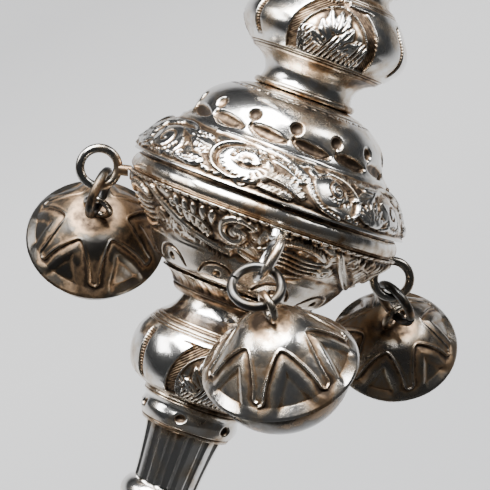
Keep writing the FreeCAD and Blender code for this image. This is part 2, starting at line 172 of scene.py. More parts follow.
class Relief:
    """A height field round a turned piece: rows run up its profile, columns round it."""

    def __init__(self, outline, columns, rows):
        self.profile, self.run = spline(np.array(outline) * BRIM_R, rows)
        self.turn = np.arange(columns) * 360.0 / columns
        self.height = np.zeros((rows, columns))
        self.tarnish = np.zeros((rows, columns))

    def at(self, share):
        """The run along the profile at a height, given over the brim radius."""
        order = np.argsort(self.profile[:, 1])
        return float(np.interp(share * BRIM_R, self.profile[order, 1], self.run[order]))

    def window(self, turn, run, reach):
        """The cells within reach of a place, and their offsets from it in millimetres."""
        radius = np.interp(run, self.run, self.profile[:, 0])
        rows = np.nonzero(np.abs(self.run - run) <= reach)[0]
        offset = (self.turn - turn + 180) % 360 - 180
        columns = np.nonzero(np.abs(np.radians(offset)) * radius <= reach)[0]
        x = np.radians(offset[columns])[None, :] * radius
        y = (self.run[rows] - run)[:, None]
        return np.ix_(rows, columns), x + 0 * y, y + 0 * x

    def raise_to(self, cells, height):
        self.height[cells] = np.maximum(self.height[cells], height)

    def stroke(self, turn, run, points, width, top, ground, taper=0.75):
        """A rounded ridge along points in millimetres from a place, or a groove where top is below ground."""
        reach = np.abs(points).max() + width
        cells, x, y = self.window(turn, run, reach)
        best = np.full(x.shape, FAR)
        shares = np.linspace(-1, 1, len(points))
        for i, (start, end) in enumerate(zip(points, points[1:])):
            step = end - start
            off_x, off_y = x - start[0], y - start[1]
            share = np.clip((off_x * step[0] + off_y * step[1]) / (step @ step), 0, 1)
            away = np.hypot(off_x - share * step[0], off_y - share * step[1])
            here = width * (1 - taper * np.abs(shares[i] + share * (shares[i + 1] - shares[i])) ** 3)
            best = np.minimum(best, away / here)
        body = np.sqrt(np.clip(1 - best ** 2, 0, 1))
        if top > ground:
            self.raise_to(cells, np.where(best < 1, ground + (top - ground) * body, OUTSIDE))
        else:
            self.height[cells] += (top - ground) * body

    def route(self, turn, places):
        """A smooth path through places, whose azimuths count from turn: its middle, and points from there."""
        runs = np.array([self.at(share) for _, share in places])
        turns = np.array([turn + offset for offset, _ in places], float)
        turn, run = turns.mean(), runs.mean()
        radius = np.interp(run, self.run, self.profile[:, 0])
        points = np.stack([np.radians(turns - turn) * radius, runs - run], 1)
        return turn, run, spline(points, 10 * len(places))[0]

    def line(self, turn, places, width, top, ground, taper=0.75):
        """A stroke through places, whose azimuths count from turn."""
        turn, run, points = self.route(turn, places)
        self.stroke(turn, run, points, width, top, ground, taper)

    def oval(self, turn, run, width, length, angle):
        """The cells round a place, and a share that falls from 1 there to 0 at the edge of an oval."""
        cells, x, y = self.window(turn, run, max(width, length) * 1.05)
        across = x * math.cos(angle) + y * math.sin(angle)
        along = y * math.cos(angle) - x * math.sin(angle)
        return cells, np.clip(1 - (across / width) ** 2 - (along / length) ** 2, 0, 1)

    def bump(self, turn, run, width, length, top, ground, angle=0.0, power=0.5):
        """A rounded boss, or a dimple where top is below ground."""
        cells, body = self.oval(turn, run, width, length, angle)
        body = body ** power
        if top > ground:
            self.raise_to(cells, np.where(body > 0, ground + (top - ground) * body, OUTSIDE))
        else:
            self.height[cells] += (top - ground) * body

    def stain(self, turn, run, width, length, amount, angle=0.0):
        """A soft oval patch of deposit."""
        cells, body = self.oval(turn, run, width, length, angle)
        self.tarnish[cells] += amount * body

    def leaf(self, turn, run, angle, length, width, top, ground, veins=5, bend=0.0):
        """A leaf that grows from a place along angle, with a groove down it and veins to each side."""
        cells, x, y = self.window(turn, run, length * 1.05)
        angle = math.radians(angle)
        along = (x * math.cos(angle) + y * math.sin(angle)) / length
        across = (y * math.cos(angle) - x * math.sin(angle)) / width - bend * along ** 2
        inside = np.clip(along, 0, 1)
        edge = np.sin(np.pi * inside ** 0.75) + 1e-6
        q = np.abs(across) / edge
        blade = np.sqrt(np.clip(1 - q ** 2, 0, 1))
        vein = np.exp(-(across / 0.09) ** 2) * 0.34
        ribs = (0.5 + 0.5 * np.cos(2 * np.pi * veins * (inside - 0.45 * np.abs(across)))) * 0.24
        ribs = ribs * np.clip(q * 1.6, 0, 1)
        shape = ground + (top - ground) * blade * (1 - vein - ribs)
        self.raise_to(cells, np.where((q < 1) & (along > 0) & (along < 1), shape, OUTSIDE))

    def ring(self, run, width, change):
        """A turned line round the piece: a bead where change is above nought, a groove below."""
        self.height += (change * np.exp(-((self.run - run) / width) ** 2))[:, None]

    def recess(self):
        """How dirty each cell is, from 0 to 1: its own tarnish, and what gathers in hollows."""
        return np.clip(recess_of(self.height) + self.tarnish, 0, 1)


def recess_of(height):
    """How far each cell of a height field lies below its surroundings, from 0 to 1."""
    mean = height.copy()
    for hop in (1, 2, 4):
        padded = np.pad(mean, ((hop, hop), (0, 0)), mode="edge")
        mean = (padded[2 * hop:] + padded[:-2 * hop] + mean * 2) / 4
        mean = (np.roll(mean, hop, 1) + np.roll(mean, -hop, 1) + mean * 2) / 4
    return np.clip((mean - height) / 0.075, 0, 1)


def scroll(length, turn, curl, steps=26):
    """Points of a C-scroll: a stroke that winds up tighter towards its ends."""
    share = np.linspace(-1, 1, steps)
    heading = np.cumsum(turn + curl * np.abs(share) ** 3) * 2 / steps
    heading -= heading[steps // 2]
    points = np.cumsum(np.stack([np.cos(heading), np.sin(heading)], 1) * length / steps, 0)
    return points - points.mean(0)


def volute(radius, turns, start, steps=30):
    """Points of a spiral that winds in to its middle."""
    share = np.linspace(0, 1, steps)
    way = math.radians(start) + share * turns * 2 * math.pi
    return np.stack([np.cos(way), np.sin(way)], 1) * (radius * (1 - 0.88 * share))[:, None]


def turned(points, angle):
    """Points turned by an angle."""
    way = math.radians(angle)
    return points @ np.array([[math.cos(way), math.sin(way)], [-math.sin(way), math.cos(way)]])


def place_in_row(points):
    """Points of the axis frame, in millimetres, as row-frame metres."""
    return (GIRDLE + points[:, :1] * UPPER_SIDE + points[:, 1:2] * TOWARDS + points[:, 2:] * AXIS) * MM


def mesh_piece(name, points, faces, body, finish, recess):
    """A smooth mesh object that rides on a body."""
    mesh = bpy.data.meshes.new(name)
    mesh.from_pydata(points.tolist(), [], faces.tolist())
    mesh.polygons.foreach_set("use_smooth", [True] * len(mesh.polygons))
    mesh.attributes.new("recess", "FLOAT", "POINT").data.foreach_set("value", recess.astype(np.float32))
    mesh.materials.append(FINISHES[finish])
    piece = bpy.data.objects.new(name, mesh)
    bpy.context.scene.collection.objects.link(piece)
    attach(piece, body)
    return piece


def wrapped(rows, columns):
    """The quads of a grid that is closed both round its rows and round its columns."""
    row = np.arange(rows)[:, None]
    column = np.arange(columns)[None, :]
    near, far = row * columns, (row + 1) % rows * columns
    following = (column + 1) % columns
    return np.stack([near + column, near + following, far + following, far + column], -1).reshape(-1, 4)


def spun(node, kind, outline, columns, rows, wall, slot, *ornaments):
    """A turned sheet or ring with its ornaments on the outside, in place of a CAD node."""
    relief = Relief(outline, columns, rows)
    for ornament in ornaments:
        ornament(relief)
    normal = outward(relief.profile)
    radius = relief.profile[:, :1] + (relief.height - SKIN) * normal[:, :1]
    height = relief.profile[:, 1:] + (relief.height - SKIN) * normal[:, 1:]
    radius[[0, -1]], height[[0, -1]] = relief.profile[[0, -1], :1] - SKIN, relief.profile[[0, -1], 1:]
    inner_rows = np.linspace(len(relief.run) - 1, 0, INNER_ROWS).astype(int)
    inner = relief.profile[inner_rows] - normal[inner_rows] * wall
    inner[[0, -1], 1] = relief.profile[[-1, 0], 1]
    inner[:, 0] = np.maximum(inner[:, 0], 0.5)
    radius = np.vstack([radius, np.repeat(inner[:, :1], columns, 1)])
    height = np.vstack([height, np.repeat(inner[:, 1:], columns, 1)])
    way = np.radians(relief.turn)[None, :]
    points = np.stack([radius * np.cos(way), radius * np.sin(way), height], -1).reshape(-1, 3)
    recess = np.vstack([relief.recess(), np.ones((INNER_ROWS, columns))]).reshape(-1)
    faces = wrapped(len(radius), columns)
    piece = mesh_piece(node + "_" + kind, place_in_row(points), faces, "rattle", slot, recess)
    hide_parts(node)


# Ornament

def around(count, start=0.0):
    """The azimuths of count places at even spacing."""
    return [start + i * 360 / count for i in range(count)]


def dome_ornament(relief):
    """Punched dimples, each with a tick below, long lens-shaped hollows between them, and a turned line."""
    row, low = relief.at(0.575), relief.at(0.470)
    for turn in around(14, 15.2):
        relief.bump(turn, row, 0.70, 0.72, -0.40, 0.0, power=0.8)
        relief.bump(turn + 0.4, row - 0.95, 0.13, 0.42, -0.22, 0.0)
        relief.bump(turn + 11.5, low + 0.16, 2.20, 0.66, -0.46, 0.0, -0.10, 0.8)
        relief.stain(turn + 11.5, low + 0.16, 2.20, 0.66, 0.55, -0.10)
        relief.stain(turn, row, 0.62, 0.64, 0.30)
        swag = [(-2.1, 0.42), (-1.2, -0.10), (0.0, -0.32), (1.2, -0.10), (2.1, 0.42)]
        relief.stroke(turn + 11.5, low - 0.22, spline(swag, 19)[0], 0.12, -0.16, 0.0)
    relief.ring(relief.at(0.752), 0.10, -0.12)
    nick = np.array([(-0.3, -0.18), (0.0, 0.12), (0.3, -0.18)])
    for turn in around(46):
        relief.stroke(turn, relief.at(0.735), nick, 0.09, -0.10, 0.0)


def chased_ground(relief, foot, head, ground, count):
    """An uneven, hammered ground, with small flat leaves and curls that fill it between the main forms."""
    columns = np.radians(relief.turn)[None, :]
    for turns, climbs, size in ((5, 1.1, 0.04), (9, 1.9, 0.03), (14, 2.7, 0.02), (23, 4.1, 0.015)):
        phase, slant = random.uniform(0, 6.3, 2)
        relief.height += size * np.sin(turns * columns + phase + climbs * relief.run[:, None] + slant) * (
            (relief.run >= foot) & (relief.run <= head))[:, None]
    for i in range(count):
        turn = (i * 137.508) % 360
        run = foot + (head - foot) * (0.08 + 0.84 * ((i * 0.618034) % 1.0))
        angle = random.uniform(0, 360)
        length = random.uniform(1.5, 2.6)
        top = ground * random.uniform(0.50, 0.72)
        if i % 4 == 0:
            relief.stroke(turn, run, turned(scroll(length * 1.4, 2.2, 1.6), angle), 0.26, top, ground)
        else:
            relief.leaf(turn, run, angle, length, length * 0.30, top, ground, 3, random.uniform(-0.5, 0.5))


def frond(relief, turn, places, leaves, length, lean, ground):
    """A feathery arm: leaves that grow, one over the next, from a curved stem."""
    turn, run, points = relief.route(turn, places)
    radius = np.interp(run, relief.run, relief.profile[:, 0])
    for share in np.linspace(0.04, 0.96, leaves):
        i = int(share * (len(points) - 2))
        step = points[i + 1] - points[i]
        heading = math.degrees(math.atan2(step[1], step[0]))
        size = length * (1.0 - 0.45 * abs(2 * share - 1) ** 2)
        place = turn + math.degrees(points[i, 0] / radius)
        relief.leaf(place, run + points[i, 1], heading + lean, size, 0.34 * size, TOP, ground, 0, 0.35)
    relief.stroke(turn, run, points, 0.20, TOP, ground, 0.8)


def nicks(relief, turn, places, count, length, lean):
    """Short slanting cuts along a path."""
    turn, run, points = relief.route(turn, places)
    radius = np.interp(run, relief.run, relief.profile[:, 0])
    for share in np.linspace(0.03, 0.97, count):
        i = int(share * (len(points) - 2))
        step = points[i + 1] - points[i]
        heading = math.degrees(math.atan2(step[1], step[0])) + lean + random.uniform(-9, 9)
        cut = np.array([(0.0, 0.0), (0.5, 0.06), (1.0, 0.0)]) * length * random.uniform(0.7, 1.2)
        place = turn + math.degrees(points[i, 0] / radius)
        relief.stroke(place, run + points[i, 1], turned(cut, heading), 0.09, -0.12, 0.0, 0.8)


def brim_ornament(relief):
    """Rococo scrolls, leaves and a flower round the brim of the upper shell, below a scrolled border."""
    foot, head = relief.at(0.10), relief.at(0.415)
    low = np.clip((relief.run - foot + 0.35) / 0.35, 0, 1)
    high = np.clip((head - relief.run) / 0.5, 0, 1)
    relief.height += (UPPER_GROUND * low * high)[:, None]
    chased_ground(relief, foot, head, UPPER_GROUND, 130)
    for turn in around(3):
        cartouche(relief, turn, UPPER_GROUND)
        boss_and_leaves(relief, turn, UPPER_GROUND)
        wave_and_palmette(relief, turn, UPPER_GROUND)
    nick = np.array([(-0.12, -0.22), (0.10, 0.22)])
    for turn in around(96):
        relief.stroke(turn, relief.at(0.112), nick, 0.08, -0.10, 0.0)


def cartouche(relief, turn, ground):
    """A round boss in a leafy nest, held by a broad smooth scroll, with two feathery arms beside it."""
    middle = turn - 0.5
    row = relief.at(0.272)
    nest = np.radians(np.linspace(150, 385, 26))
    scroll_arc = np.stack([np.cos(nest), np.sin(nest)], 1) * [2.15, 1.45]
    relief.stroke(middle, row, scroll_arc, 0.92, TOP, ground, 0.55)
    for angle in range(10, 190, 22):
        relief.leaf(middle, row, angle, 1.75, 0.42, TOP, ground, 3)
    relief.bump(middle, row, 0.95, 0.85, -0.16, 0.0, 0.0, 0.6)
    relief.bump(middle, row, 0.56, 0.52, TOP + 0.01, ground - 0.10)
    side = np.radians(np.linspace(100, 262, 20))
    arc = np.stack([np.cos(side), np.sin(side)], 1)
    relief.stroke(middle, row, arc * [3.15, 2.0], 0.30, -0.20, 0.0, 0.8)
    relief.stroke(middle, row, arc * [3.65, 2.35], 0.26, TOP, ground, 0.8)
    for i in range(4):
        nick = turned(np.array([(-0.35, 0.0), (0.35, 0.10)]), 285 + 20 * i)
        way = math.radians(300 + 17 * i)
        relief.stroke(middle + 8.4 * math.cos(way), row + 1.60 * math.sin(way), nick, 0.11, -0.14, 0.0)
    nicks(relief, turn, [(-13, 0.240), (-7, 0.165), (1, 0.140), (9, 0.165)], 8, 0.55, 60)
    frond(relief, turn, [(9, 0.330), (14, 0.318), (19, 0.290), (23, 0.245)], 8, 1.5, 48, ground)
    frond(relief, turn, [(8, 0.215), (14, 0.212), (20, 0.190), (25, 0.150)], 9, 1.5, 50, ground)
    frond(relief, turn, [(7, 0.140), (14, 0.130), (21, 0.118)], 7, 1.2, 42, ground)


def boss_and_leaves(relief, turn, ground):
    """A big round boss with a sunk eye, and folded leaves that reach from it to the cartouche."""
    row = relief.at(0.235)
    relief.bump(turn - 45.0, row, 2.35, 2.05, TOP, ground, 0.0, 0.6)
    eye = turn - 43.5
    relief.stroke(eye, row, volute(1.45, 1.3, 250), 0.14, -0.13, 0.0, 0.2)
    relief.bump(eye, row, 0.42, 0.38, TOP + 0.01, ground, 0.0, 0.5)
    relief.leaf(turn - 15.5, relief.at(0.262), 168, 3.6, 1.15, TOP, ground, 3, 0.15)
    relief.leaf(turn - 16.5, relief.at(0.175), 190, 3.8, 0.90, TOP, ground, 4, -0.20)
    relief.leaf(turn - 20.0, relief.at(0.345), 186, 4.2, 0.75, TOP, ground, 4, -0.25)
    relief.leaf(turn - 56.0, relief.at(0.330), 200, 3.6, 0.80, TOP, ground, 4, 0.25)
    relief.leaf(turn - 54.0, relief.at(0.160), 184, 3.0, 0.65, TOP, ground, 4, -0.25)
    for lean, share in ((160, 0.262), (186, 0.180), (176, 0.345)):
        path = [(-18, share), (-24, share + 0.01), (-31, share)]
        nicks(relief, turn, path, 9, 0.6, 40 + 0.2 * lean)
    nicks(relief, turn, [(-55, 0.20), (-46, 0.135), (-36, 0.165), (-33, 0.24)], 14, 0.5, 80)
    over = [(-60, 0.29), (-52, 0.365), (-42, 0.385), (-31, 0.350), (-27, 0.290)]
    relief.line(turn, over, 0.24, TOP, ground, 0.4)


def wave_and_palmette(relief, turn, ground):
    """A double ridge along the border that sweeps down to the rim, a smooth swelling and a palmette."""
    border = [(-24, 0.398), (-12, 0.404), (0, 0.396), (12, 0.385), (21, 0.345)]
    fall = [(26.5, 0.285), (29.5, 0.215), (34.0, 0.145), (42.0, 0.105)]
    relief.line(turn, border + fall, 0.36, TOP + 0.02, ground, 0.4)
    relief.line(turn, border + fall, 0.08, -0.13, 0.0, 0.4)
    nicks(relief, turn, fall, 12, 0.5, 70)
    nicks(relief, turn, [(1, 0.372), (11, 0.362), (20, 0.325), (25, 0.275)], 16, 0.55, -70)
    relief.bump(turn + 36.5, relief.at(0.275), 1.85, 1.75, TOP, ground, 0.2, 0.55)
    eye = turn + 41.0
    relief.stroke(eye, relief.at(0.290), volute(1.05, 1.5, 120), 0.13, -0.14, 0.0, 0.2)
    relief.bump(eye, relief.at(0.290), 0.22, 0.20, TOP + 0.02, ground)
    for i in range(4):
        nick = turned(np.array([(-0.3, 0.0), (0.3, 0.0)]), 20 + 14 * i)
        relief.stroke(eye - 3.2 + 1.6 * i, relief.at(0.232) - 0.10 * i, nick, 0.08, -0.12, 0.0)
    arch = [(36, 0.372), (44, 0.360), (50, 0.300), (52, 0.225), (49, 0.150)]
    relief.line(turn, arch, 0.26, TOP, ground, 0.5)
    nicks(relief, turn, [(40, 0.205), (46, 0.215), (49, 0.255), (47, 0.325)], 12, 0.5, 75)
    nicks(relief, turn, [(44, 0.125), (56, 0.112), (70, 0.118), (80, 0.130)], 22, 0.6, 62)
    for i in range(7):
        relief.leaf(turn + 59.5, relief.at(0.150), 18 + 24 * i, 2.9 - 0.16 * abs(i - 3), 0.52, TOP, ground, 3)
    relief.bump(turn + 59.5, relief.at(0.150), 0.75, 0.50, TOP, ground)
    relief.leaf(turn + 56.0, relief.at(0.345), 10, 3.8, 0.70, TOP, ground, 4, -0.20)
    relief.line(turn, [(68, 0.30), (72, 0.22), (70, 0.15), (64, 0.12)], 0.26, TOP, ground, 0.5)


def lower_ornament(relief):
    """Ribbons, scrolls and leaves under the girdle, a nicked edge, and a smooth dimpled band low down."""
    head, foot = relief.at(-0.105), relief.at(-0.420)
    low = np.clip((relief.run - foot) / 0.9, 0, 1)
    high = np.clip((head - relief.run + 0.25) / 0.3, 0, 1)
    relief.height += (LOWER_GROUND * low * high)[:, None]
    chased_ground(relief, foot + 0.3, head, LOWER_GROUND, 110)
    for turn in around(4, 6.0):
        lower_motif(relief, turn, LOWER_GROUND)
    for turn in around(84):
        relief.bump(turn, relief.at(-0.100), 0.16, 0.36, -0.30, 0.0, 0.35)
    row = relief.at(-0.530)
    for turn in around(10, -1.0):
        relief.bump(turn, row, 0.40, 0.44, -0.34, 0.0, power=0.8)
        lobe = spline([(-2.0, -0.7), (-1.3, 0.45), (0.0, 0.95), (1.3, 0.45), (2.0, -0.7)], 21)[0]
        relief.stroke(turn, row + 0.15, lobe, 0.20, -0.18, 0.0, 0.4)
    relief.ring(relief.at(-0.595), 0.14, -0.12)
    relief.tarnish += 0.22


def lower_motif(relief, turn, ground):
    """One of the four repeats round the lower shell: a snail scroll, long ribbons and hanging leaves."""
    eye = relief.at(-0.225)
    relief.stroke(turn - 1.0, eye, turned(volute(2.05, 1.15, 20), 20), 0.42, TOP, ground, 0.3)
    relief.bump(turn - 1.5, eye, 0.85, 0.75, TOP - 0.10, ground, 0.0, 0.6)
    ribbon = [(-46, -0.125), (-40, -0.205), (-30, -0.285), (-16, -0.345), (-2, -0.375)]
    relief.line(turn, ribbon, 0.44, TOP, ground, 0.4)
    relief.line(turn, ribbon, 0.08, -0.13, 0.0, 0.4)
    nicks(relief, turn, [(-44, -0.215), (-33, -0.298), (-18, -0.365), (-4, -0.400)], 22, 0.5, -66)
    nicks(relief, turn, [(-41, -0.175), (-30, -0.250), (-16, -0.318), (-3, -0.352)], 18, 0.4, 60)
    nicks(relief, turn, [(-7, -0.300), (-1, -0.325), (6, -0.290), (8, -0.220)], 12, 0.5, 70)
    frond(relief, turn, [(-34, -0.150), (-26, -0.185), (-17, -0.220), (-12, -0.280)], 7, 1.7, -62, ground)
    for i in range(5):
        relief.leaf(turn - 31.0 + 4.6 * i, relief.at(-0.125), 292 - 5 * i, 1.8, 0.46, TOP - 0.03, ground, 2)
    swag = [(14, -0.215), (22, -0.165), (32, -0.160), (40, -0.205)]
    relief.line(turn, swag, 0.52, TOP, ground, 0.5)
    for i in range(4):
        share = -0.245 - 0.032 * i
        blade = [(9 + 2 * i, share - 0.03), (20 + i, share + 0.012), (34 - i, share), (43, share + 0.02)]
        relief.line(turn, blade, 0.25, TOP - 0.02, ground, 0.9)
    nicks(relief, turn, [(12, -0.175), (22, -0.128), (34, -0.125), (43, -0.170)], 20, 0.6, -60)
    relief.line(turn, [(2, -0.335), (14, -0.385), (28, -0.392), (38, -0.365)], 0.30, TOP, ground, 0.6)
    relief.bump(turn + 46.0, relief.at(-0.300), 1.15, 0.95, TOP, ground, 0.0, 0.6)
    relief.stroke(turn + 46.0, relief.at(-0.300), volute(0.80, 1.2, 200), 0.11, -0.12, 0.0, 0.2)


def knop_ornament(relief):
    """Milled channels that arch over three leaf panels, with swelling panels and a channel between them."""
    span, half_pitch, half_panel = relief.run[-1], 60, 29.0
    share = (relief.run / span)[:, None]
    rise = np.clip((share - 0.16) / 0.68, 0, 1)
    radius = relief.profile[:, :1]
    foot = np.clip((share - 0.10) / 0.03, 0, 1)
    mill = 0.5 + 0.5 * np.cos(2 * np.pi * relief.run[:, None] / 0.31)
    for middle in around(3, PANEL_AT):
        offset = (relief.turn[None, :] - middle + 180) % 360 - 180
        half = half_panel * np.sqrt(np.clip(1 - rise ** 2.6, 0, 1))
        away = np.radians(np.abs(offset) - half) * radius
        slope = np.gradient(half[:, 0] * radius[:, 0], relief.run) * math.pi / 180
        away = away / np.sqrt(1 + np.clip(slope, -6, 6) ** 2)[:, None]
        ribs = 0.5 + 0.5 * np.cos(2 * np.pi * (relief.run[:, None] + np.abs(offset) * radius * 0.0175) / 0.34)
        arch_band = channel(away, 0.56) * foot * (share < 0.90) * (np.abs(offset) < half_pitch)
        relief.height -= arch_band * (0.22 + 0.16 * ribs)
        relief.tarnish += 0.75 * arch_band
        panel = np.clip((-away - 0.55) / 0.12, 0, 1) * foot * (share < 0.80)
        leaf_panel(relief, middle, panel)
        side = np.radians(np.abs(np.abs(offset) - half_pitch)) * radius
        ends = np.clip((share - 0.16) / 0.08, 0, 1) * np.clip((0.84 - share) / 0.08, 0, 1)
        seam = channel(side, 0.42) * ends
        relief.height -= 0.5 * seam * (0.22 + 0.16 * mill)
        relief.tarnish += 0.30 * seam
    for edge in (0.045, 0.080, 0.920, 0.955):
        relief.ring(edge * span, 0.07, -0.11)


def channel(away, half):
    """A flat-bottomed channel's depth, from 0 to 1, where away is the distance from its middle."""
    return np.clip((half - np.abs(away)) / 0.10, 0, 1)


def leaf_panel(relief, turn, panel):
    """Curved leaves and fine slanting cuts that fill one knop panel."""
    span = relief.run[-1]
    before = relief.height.copy()
    relief.height += PANEL_GROUND * panel
    for side, angles in ((-1, (118, 132, 150)), (1, (66, 50, 30))):
        for i, angle in enumerate(angles):
            place = turn + side * (2.0 + 1.5 * i)
            run, length = span * (0.46 - 0.10 * i), 2.7 - 0.25 * i
            relief.leaf(place, run, angle, length, 0.80, 0.0, PANEL_GROUND, 2, 0.5 * side)
    relief.leaf(turn, span * 0.44, 88, 3.0, 0.75, 0.0, PANEL_GROUND, 3)
    low = np.clip((0.46 - relief.run[:, None] / span) / 0.10, 0, 1)
    slant = np.radians(relief.turn[None, :]) * relief.profile[:, :1] * 0.86 - relief.run[:, None] * 0.5
    cuts = np.clip(1.6 * np.cos(2 * np.pi * slant / 0.42), 0, 1)
    relief.height = np.maximum(relief.height, PANEL_GROUND + low * (0.30 - 0.24 * cuts))
    relief.height = before + (np.minimum(relief.height, 0.0) - before) * panel


def girdle_ornament(relief):
    """The band between the shells: a turned lip below, a shallow channel above it, and slight wear."""
    span = relief.run[-1]
    relief.ring(0.16 * span, 0.07, -0.10)
    relief.ring(0.90 * span, 0.10, -0.16)
    columns = np.radians(relief.turn)[None, :]
    for turns, size in ((7, 0.012), (16, 0.010), (31, 0.008), (58, 0.006)):
        relief.height += size * np.sin(turns * columns + random.uniform(0, 6.3) + relief.run[:, None])
    share = (relief.run / span)[:, None]
    relief.tarnish += 0.28 * np.clip((0.62 - share) / 0.15, 0, 1) + 0.9 * np.clip((share - 0.80) / 0.10, 0, 1)


def neck_ornament(relief):
    """A smooth neck with two faint turned lines at its foot."""
    span = relief.run[-1]
    relief.ring(0.05 * span, 0.08, -0.10)
    relief.ring(0.16 * span, 0.06, -0.06)
    relief.tarnish += 0.35 * np.clip((0.20 - relief.run / span) / 0.15, 0, 1)[:, None]


def collar_ornament(relief):
    """The skirt under the lower shell: a rough soldered edge over a smooth lip."""
    columns = np.radians(relief.turn)[None, :]
    span = relief.run[-1]
    upper = np.clip((relief.run / span - 0.45) / 0.15, 0, 1)[:, None]
    for turns, climbs, size in ((31, 3.0, 0.020), (53, 5.0, 0.016), (97, 8.0, 0.012)):
        phase = random.uniform(0, 6.3)
        relief.height += size * upper * (np.sin(turns * columns + phase + climbs * relief.run[:, None]) - 1)
    relief.ring(0.46 * span, 0.10, -0.12)
    relief.tarnish += 0.30 * (1 - upper) + 0.15


def handle_ornament(relief):
    """The pearl handle: two turned lines at its neck and one at its end, on a slightly uneven surface."""
    columns = np.radians(relief.turn)[None, :]
    for turns, climbs, size in ((2, 0.21, 0.020), (3, 0.37, 0.016), (5, 0.61, 0.010)):
        phase = random.uniform(0, 6.3)
        relief.height += size * (np.sin(turns * columns + phase + climbs * relief.run[:, None]) - 1)
    for share in (-2.98, -3.06, -5.33):
        relief.ring(relief.at(share), 0.16, -0.20)
    relief.ring(relief.at(-3.02), 0.10, 0.04)


def flange_ornament(relief):
    """Oval punches round a flange."""
    for turn in around(6, 4.0):
        relief.bump(turn, relief.run[-1] * 0.45, 0.68, 0.54, -0.42, 0.0, 0.35, 0.8)
    relief.ring(relief.run[-1] * 0.10, 0.08, -0.10)
    relief.ring(relief.run[-1] * 0.88, 0.08, -0.10)


# Bells

def bell_frame(name):
    """A bell's rim centre in metres, its axis upwards, and the size of its dome, all from the CAD."""
    slide = next(joint for joint in frame["joints"] if joint["name"] == name + "_pellet_jump")
    axis = np.array(slide["axis"], float)
    axis /= np.linalg.norm(axis)
    mesh = frame["nodes"][name + "_bell_dome"].data
    points = np.empty(len(mesh.vertices) * 3)
    mesh.vertices.foreach_get("co", points)
    points = points.reshape(-1, 3)
    rise = points @ axis
    crown = points[np.argmax(rise)]
    rim = points[rise < rise.min() + 0.00005].mean(0)
    rim = crown - axis * ((crown - rim) @ axis)
    radius = np.linalg.norm(points - rim - np.outer((points - rim) @ axis, axis), axis=1).max()
    return rim, axis, radius / MM, (rise.max() - rise.min()) / MM


def petals(turn, run, radius, phase):
    """A stamped dome's heights and tarnish: one thin line arches over the petals and dips between them."""
    share = (run / run[-1])[:, None]
    height, tarnish = np.zeros((len(run), len(turn))), np.zeros((len(run), len(turn)))
    for i in range(PETALS):
        offset = (turn - phase - HALF_PETAL * (2 * i + 1) + 180) % 360 - 180
        columns = np.nonzero(np.abs(offset) <= HALF_PETAL)[0]
        across = offset[columns][None, :] / HALF_PETAL
        head, foot = 0.63 + random.uniform(-0.03, 0.03), 0.20 + random.uniform(-0.02, 0.03)
        line = petal_line(run, radius, foot, head, 0.50)
        away, inside = beside(line, across, share, radius, run[-1])
        heart = petal_line(run, radius, foot - 0.20, head - 0.17, 1.35)
        heart_away, in_heart = beside(heart, across, share, radius, run[-1])
        edge = 1 - np.exp(-(away / 0.13) ** 2)
        finger = np.clip((0.66 - share) / 0.16, 0, 1)
        petal = -0.30 * edge + 0.13 * np.clip((away - 0.25) / 0.7, 0, 1)
        shape = np.where(inside, petal, -(0.05 + 0.12 * finger) * edge)
        sunk = np.clip(heart_away / 0.75, 0, 1) * in_heart
        shape = shape - 0.24 * sunk * sunk * (3 - 2 * sunk)
        height[:, columns] = shape
        tarnish[:, columns] = np.where(inside, 0.42 * np.exp(-((away - 0.45) / 0.40) ** 2), 0.10 * finger)
    height *= np.clip((share - 0.03) / 0.10, 0, 1) * np.clip((0.94 - share) / 0.10, 0, 1)
    tarnish += 0.55 * np.clip((share - 0.70) / 0.12, 0, 1)
    return height, tarnish


def petal_line(run, radius, foot, head, gap):
    """The line over one petal, as (share of half the pitch, share of the dome), gap from the pitch's edge."""
    way = np.linspace(math.pi, 0, 80)
    rise = foot + (head - foot) * np.sin(way)
    half = math.radians(HALF_PETAL) * np.interp(rise, run / run[-1], radius)
    over = np.cos(way) * (1 - gap / half)
    end = np.linspace(0, math.pi / 2, 12)
    foot_half = math.radians(HALF_PETAL) * np.interp(foot, run / run[-1], radius)
    dip = np.stack([1 - gap / foot_half * np.cos(end), foot - gap / run[-1] * np.sin(end)], 1)
    return np.vstack([(dip * [-1, 1])[::-1], np.stack([over, rise], 1), dip])


def beside(line, across, share, radius, length):
    """The distance of each cell from a petal's line in millimetres, and whether it lies below the line."""
    half = math.radians(HALF_PETAL) * radius[:, None]
    away = np.full((len(share), across.shape[1]), FAR)
    for place, rise in line:
        away = np.minimum(away, np.hypot((across - place) * half, (share - rise) * length))
    return away, share < np.interp(across, line[:, 0], line[:, 1])


